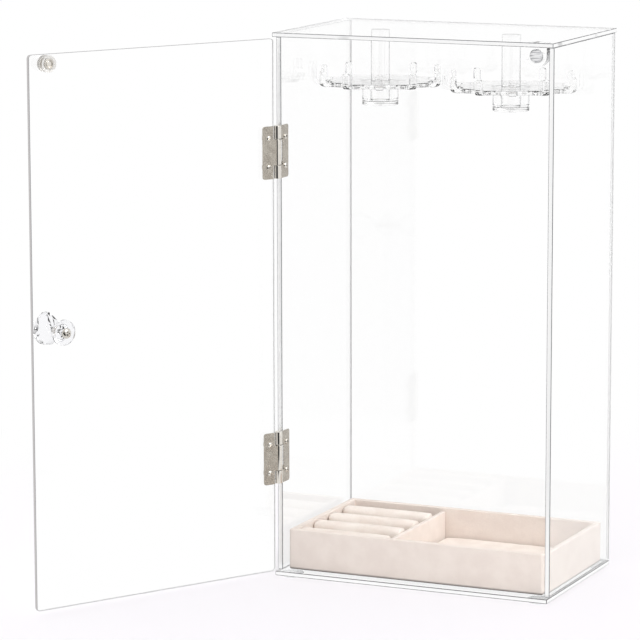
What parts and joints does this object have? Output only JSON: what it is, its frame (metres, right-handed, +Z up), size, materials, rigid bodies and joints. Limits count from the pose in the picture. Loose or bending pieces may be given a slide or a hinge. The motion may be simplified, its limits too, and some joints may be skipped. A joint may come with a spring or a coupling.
{
  "type": "rotating jewelry stand",
  "caption": "Clear acrylic necklace case with a hinged door, turning hook discs under the top plate and a lift-out velvet tray with ring slots.",
  "frame": {"origin": "centre of the base plate's underside", "axes": "+Z up, +X to the right as seen from the open front, +Y to the back panel"},
  "size_m": [0.3173, 0.2942, 0.38],
  "materials": {
    "clear_acrylic_sheet": "clear, polished faces and edges",
    "clear_moulded_acrylic": "clear, moulded",
    "clear_rubber": "clear, soft",
    "satin_nickel": "satin nickel plate",
    "bright_zinc": "bright plate",
    "magnet_metal": "dark plate",
    "cream_velvet": "short-pile velvet"
  },
  "bodies": {
    "case": {"back_panel": "clear_acrylic_sheet", "base_plate": "clear_acrylic_sheet", "case_magnet": "magnet_metal", "case_magnet_holder": "clear_moulded_acrylic", "foot_back_left": "clear_rubber", "foot_back_right": "clear_rubber", "foot_front_left": "clear_rubber", "foot_front_right": "clear_rubber", "hinge_lower_pin": "satin_nickel", "hinge_lower_side_bottom_nut": "bright_zinc", "hinge_lower_side_bottom_screw": "bright_zinc", "hinge_lower_side_leaf": "satin_nickel", "hinge_lower_side_top_nut": "bright_zinc", "hinge_lower_side_top_screw": "bright_zinc", "hinge_upper_pin": "satin_nickel", "hinge_upper_side_bottom_nut": "bright_zinc", "hinge_upper_side_bottom_screw": "bright_zinc", "hinge_upper_side_leaf": "satin_nickel", "hinge_upper_side_top_nut": "bright_zinc", "hinge_upper_side_top_screw": "bright_zinc", "rod_cap_left": "clear_moulded_acrylic", "rod_cap_right": "clear_moulded_acrylic", "rod_left": "clear_moulded_acrylic", "rod_right": "clear_moulded_acrylic", "side_panel_left": "clear_acrylic_sheet", "side_panel_right": "clear_acrylic_sheet", "top_plate": "clear_acrylic_sheet"},
    "door": {"door_knob": "clear_moulded_acrylic", "door_magnet": "magnet_metal", "door_magnet_cup": "clear_moulded_acrylic", "door_panel": "clear_acrylic_sheet", "hinge_lower_door_bottom_nut": "bright_zinc", "hinge_lower_door_bottom_screw": "bright_zinc", "hinge_lower_door_leaf": "satin_nickel", "hinge_lower_door_top_nut": "bright_zinc", "hinge_lower_door_top_screw": "bright_zinc", "hinge_upper_door_bottom_nut": "bright_zinc", "hinge_upper_door_bottom_screw": "bright_zinc", "hinge_upper_door_leaf": "satin_nickel", "hinge_upper_door_top_nut": "bright_zinc", "hinge_upper_door_top_screw": "bright_zinc", "knob_screw": "bright_zinc"},
    "disc_left": {"hook_disc_left": "clear_moulded_acrylic"},
    "disc_right": {"hook_disc_right": "clear_moulded_acrylic"},
    "tray": {"ring_roll_1": "cream_velvet", "ring_roll_2": "cream_velvet", "ring_roll_3": "cream_velvet", "ring_roll_4": "cream_velvet", "tray_divider": "cream_velvet", "tray_pad": "cream_velvet", "tray_shell": "cream_velvet"}
  },
  "joints": [
    {"name": "door_hinge", "type": "hinge", "parent": "case", "child": "door", "pos_m": [-0.0992, -0.0607, 0.19], "axis": [0, 0, 1], "range_deg": [-70, 120]},
    {"name": "disc_left_spin", "type": "hinge", "parent": "case", "child": "disc_left", "pos_m": [-0.0484, 0, 0.34], "axis": [0, 0, 1], "continuous": true},
    {"name": "disc_right_spin", "type": "hinge", "parent": "case", "child": "disc_right", "pos_m": [0.0484, 0, 0.34], "axis": [0, 0, 1], "continuous": true},
    {"name": "tray_lift", "type": "slide", "parent": "case", "child": "tray", "axis": [0, 0, 1], "range_m": [0, 0.15]}
  ]
}
